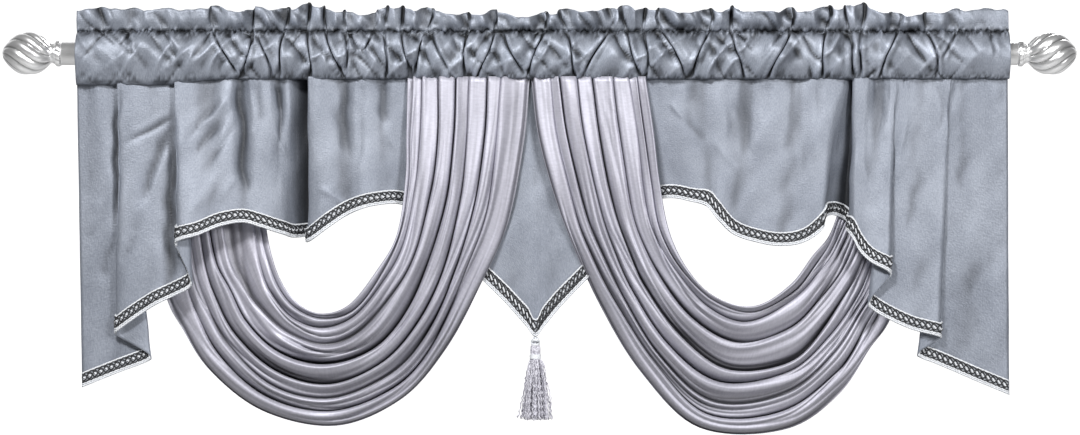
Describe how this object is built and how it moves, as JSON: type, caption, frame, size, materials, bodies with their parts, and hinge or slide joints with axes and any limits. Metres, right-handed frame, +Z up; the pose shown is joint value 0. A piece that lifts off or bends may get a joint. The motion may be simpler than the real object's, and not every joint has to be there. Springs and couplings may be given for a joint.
{
  "type": "swag valance on a curtain rod",
  "caption": "Gathered rod-pocket swag valance with ruffle, side panels, V panel, draped swags, braid hems and tassel, on a plain rod with twisted ball finials.",
  "frame": {"origin": "on the rod's axis at mid-length", "axes": "+X along the rod, -Y towards the room, +Z up"},
  "size_m": [1.1504, 0.0597, 0.4645],
  "materials": {
    "metal": "polished silver",
    "header_cloth": "dark blue-grey taffeta, gathered",
    "panel_cloth": "blue-grey taffeta",
    "swag_cloth": "silver-lilac satin",
    "braid": "black and silver plaited braid",
    "tassel_yarn": "silver-lilac rayon yarn"
  },
  "bodies": {
    "root": {"rod": "metal", "finial_left": "metal", "finial_right": "metal", "header": "header_cloth", "panel_left": "panel_cloth", "panel_right": "panel_cloth", "panel_centre": "panel_cloth", "braid_left": "braid", "braid_right": "braid", "braid_centre": "braid", "swag_left": "swag_cloth", "swag_right": "swag_cloth", "tassel": "tassel_yarn"}
  },
  "joints": []
}
